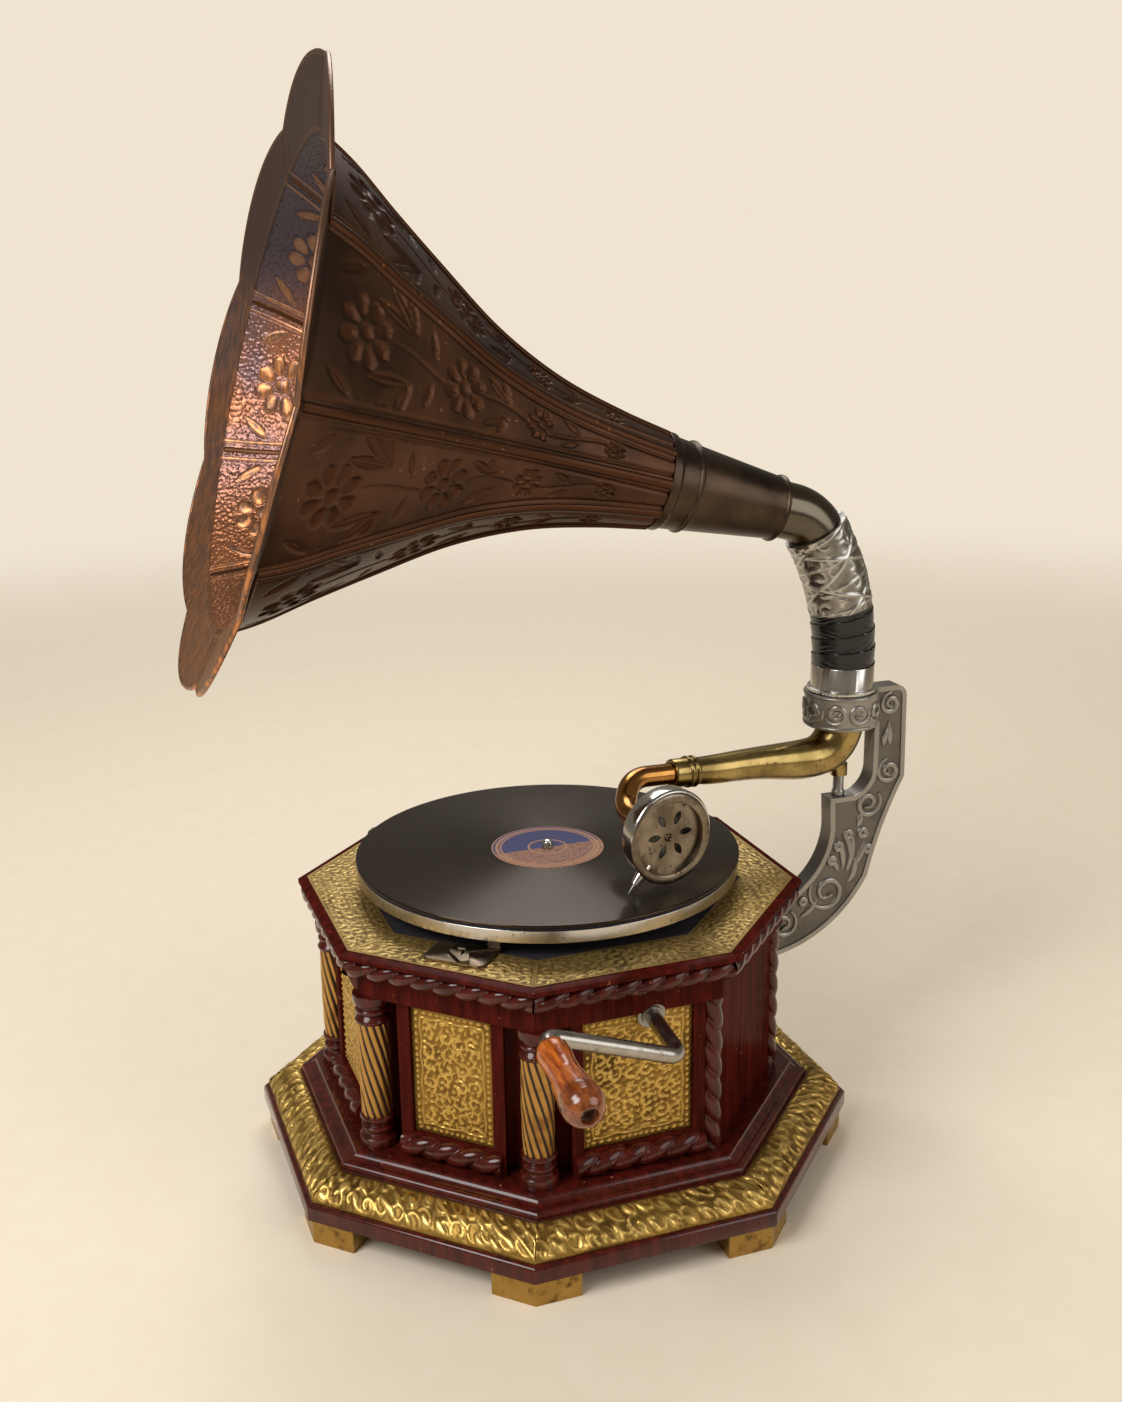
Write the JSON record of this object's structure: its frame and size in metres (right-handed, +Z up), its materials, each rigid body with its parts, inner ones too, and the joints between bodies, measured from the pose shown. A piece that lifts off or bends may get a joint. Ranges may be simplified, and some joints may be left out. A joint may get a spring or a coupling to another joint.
{
  "type": "horn gramophone",
  "caption": "Table gramophone with an octagonal wooden cabinet, wind-up spring motor, platter with a disc record, swinging tone arm with soundbox, and a petalled flower horn.",
  "frame": {"origin": "on the table, below the middle of the whole object's footprint", "axes": "+Z up, -Y the way the horn faces, +X the side with the winding crank"},
  "size_m": [0.4662, 0.4913, 0.6941],
  "materials": {
    "mahogany": "dark red gloss lacquer",
    "board": "dark stain",
    "gilt_wood": "gilded",
    "pressed_brass": "aged embossed",
    "works_steel": "oiled",
    "works_brass": "cut",
    "nickel": "worn plate",
    "casting": "plated and dulled",
    "felt": "felt",
    "shellac": "grooved",
    "label": "printed rings",
    "rod_steel": "worn",
    "grip_wood": "amber lacquer",
    "arm_brass": "polished",
    "diaphragm": "thin disc",
    "knob": "turned",
    "horn_metal": "dark aged copper colour",
    "tape": "gloss black",
    "foil": "crinkled"
  },
  "bodies": {
    "cabinet": {"feet": "pressed_brass", "plinth_board": "mahogany", "plinth_moulding": "mahogany", "skirt_sheets": "pressed_brass", "wall_boards": "mahogany", "brass_panels": "pressed_brass", "panel_rails": "mahogany", "column_ends": "mahogany", "column_shafts": "gilt_wood", "corner_ropes": "mahogany", "frieze": "mahogany", "cornice_rope": "mahogany", "deck_frame": "mahogany", "deck_sheets": "pressed_brass", "motor_board": "board", "motor_top_plate": "works_steel", "motor_bottom_plate": "works_steel", "motor_pillars": "works_steel", "governor_brackets": "works_steel", "bracket": "casting", "bracket_screws": "nickel", "pivot_pin": "works_steel", "crank_bush": "works_brass", "brake_plate": "works_steel"},
    "turntable": {"spindle": "works_steel", "worm_wheel": "works_brass", "platter": "nickel", "felt_mat": "felt", "record": "shellac", "record_label": "label"},
    "barrel": {"spring_barrel": "works_steel", "barrel_cover": "works_steel", "mainspring": "works_steel"},
    "winding": {"barrel_arbor": "works_steel", "winding_wheel": "works_brass"},
    "intermediate": {"intermediate_arbor": "works_steel", "intermediate_wheel": "works_brass"},
    "governor": {"governor_shaft": "works_steel", "governor_disc": "works_brass", "governor_springs": "works_steel", "governor_balls": "works_brass"},
    "crank": {"winding_shaft": "works_steel", "crank_rod": "rod_steel"},
    "grip": {"crank_grip": "grip_wood"},
    "tonearm": {"tonearm_tube": "arm_brass", "tonearm_collar": "arm_brass"},
    "soundbox": {"gooseneck": "arm_brass", "soundbox_case": "nickel", "soundbox_grille": "nickel", "diaphragm": "diaphragm", "needle_bar": "nickel", "needle": "rod_steel"},
    "brake": {"brake_lever": "works_steel"},
    "speed": {"speed_knob": "knob"},
    "horn": {"horn_elbow": "nickel", "tape_wrap": "tape", "foil_wrap": "foil", "horn_collar": "horn_metal", "horn_petals": "horn_metal"}
  },
  "joints": [
    {"name": "turntable_spin", "type": "hinge", "parent": "cabinet", "child": "turntable", "pos_m": [-0.0271, -0.0228, 0.19], "axis": [0, 0, 1], "continuous": true},
    {"name": "barrel_spin", "type": "hinge", "parent": "cabinet", "child": "barrel", "pos_m": [0.0279, -0.0078, 0.134], "axis": [0, 0, 1], "continuous": true},
    {"name": "intermediate_spin", "type": "hinge", "parent": "cabinet", "child": "intermediate", "pos_m": [-0.01511, 0.01115, 0.134], "axis": [0, 0, 1], "continuous": true},
    {"name": "governor_spin", "type": "hinge", "parent": "cabinet", "child": "governor", "pos_m": [-0.0271, -0.0479, 0.156], "axis": [1, 0, 0], "continuous": true},
    {"name": "crank_spin", "type": "hinge", "parent": "cabinet", "child": "crank", "pos_m": [0.1129, -0.0078, 0.1486], "axis": [0.9903, 0, -0.1392], "continuous": true},
    {"name": "winding_spin", "type": "hinge", "parent": "cabinet", "child": "winding", "pos_m": [0.0279, -0.0078, 0.15], "axis": [0, 0, 1], "continuous": true},
    {"name": "grip_spin", "type": "hinge", "parent": "crank", "child": "grip", "pos_m": [0.20062, -0.09276, 0.1692], "axis": [0.9903, 0, -0.1392], "continuous": true},
    {"name": "tonearm_swing", "type": "hinge", "parent": "cabinet", "child": "tonearm", "pos_m": [-0.0271, 0.1962, 0.25], "axis": [0, 0, 1], "range_deg": [-12, 18]},
    {"name": "soundbox_flip", "type": "hinge", "parent": "tonearm", "child": "soundbox", "pos_m": [-0.0111, 0.07789, 0.25228], "axis": [0.1337, -0.9888, 0.0663], "range_deg": [0, 80]},
    {"name": "horn_swivel", "type": "hinge", "parent": "cabinet", "child": "horn", "pos_m": [-0.0271, 0.1962, 0.285], "axis": [0, 0, 1], "range_deg": [-30, 30]},
    {"name": "brake_turn", "type": "hinge", "parent": "cabinet", "child": "brake", "pos_m": [0.06724, -0.11078, 0.188], "axis": [0, 0, 1], "range_deg": [-3, 10]},
    {"name": "speed_turn", "type": "hinge", "parent": "cabinet", "child": "speed", "pos_m": [-0.13125, -0.11334, 0.19], "axis": [0, 0, 1], "range_deg": [-150, 150]}
  ],
  "couplings": [
    {"joint": "intermediate_spin", "follows": "turntable_spin", "ratio": -0.2},
    {"joint": "barrel_spin", "follows": "turntable_spin", "ratio": 0.02381},
    {"joint": "governor_spin", "follows": "turntable_spin", "ratio": 10},
    {"joint": "winding_spin", "follows": "crank_spin", "ratio": 0.33333}
  ]
}
